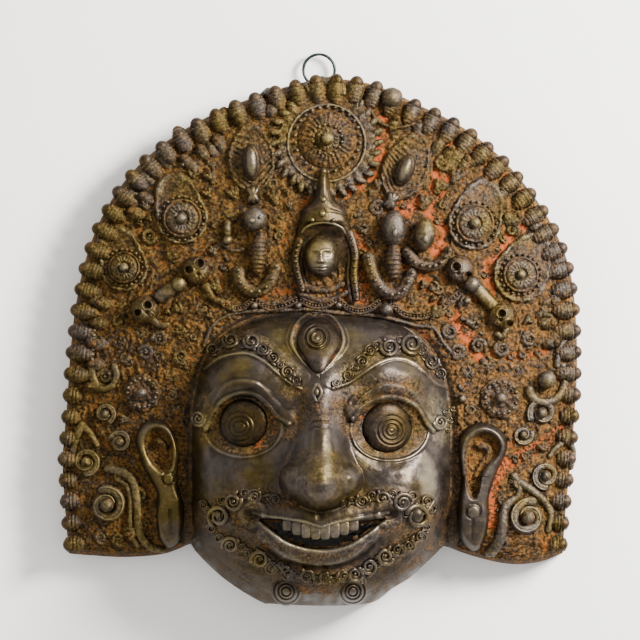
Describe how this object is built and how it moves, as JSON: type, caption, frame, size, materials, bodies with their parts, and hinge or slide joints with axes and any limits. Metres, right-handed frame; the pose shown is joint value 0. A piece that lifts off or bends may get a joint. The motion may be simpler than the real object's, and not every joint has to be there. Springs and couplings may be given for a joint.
{
  "type": "bronze ritual mask",
  "caption": "Hollow cast bronze mask of a three-eyed deity with an arched, carved crown, long ears and a wire hanging ring, lying face up on its back rim.",
  "frame": {"origin": "in the back plane, under the middle of the mask's and ring's bounding box", "axes": "+Z out of the face, +Y towards the top of the crown, +X towards the mask's left ear, which is on the viewer's right"},
  "size_m": [0.2402, 0.2539, 0.0826],
  "materials": {
    "aged_bronze": "aged, dark patina with red pigment and ochre dirt in the recesses",
    "dark_wire": "dark satin"
  },
  "bodies": {
    "root": {"mask": "aged_bronze", "hanging_ring": "dark_wire"}
  },
  "joints": []
}
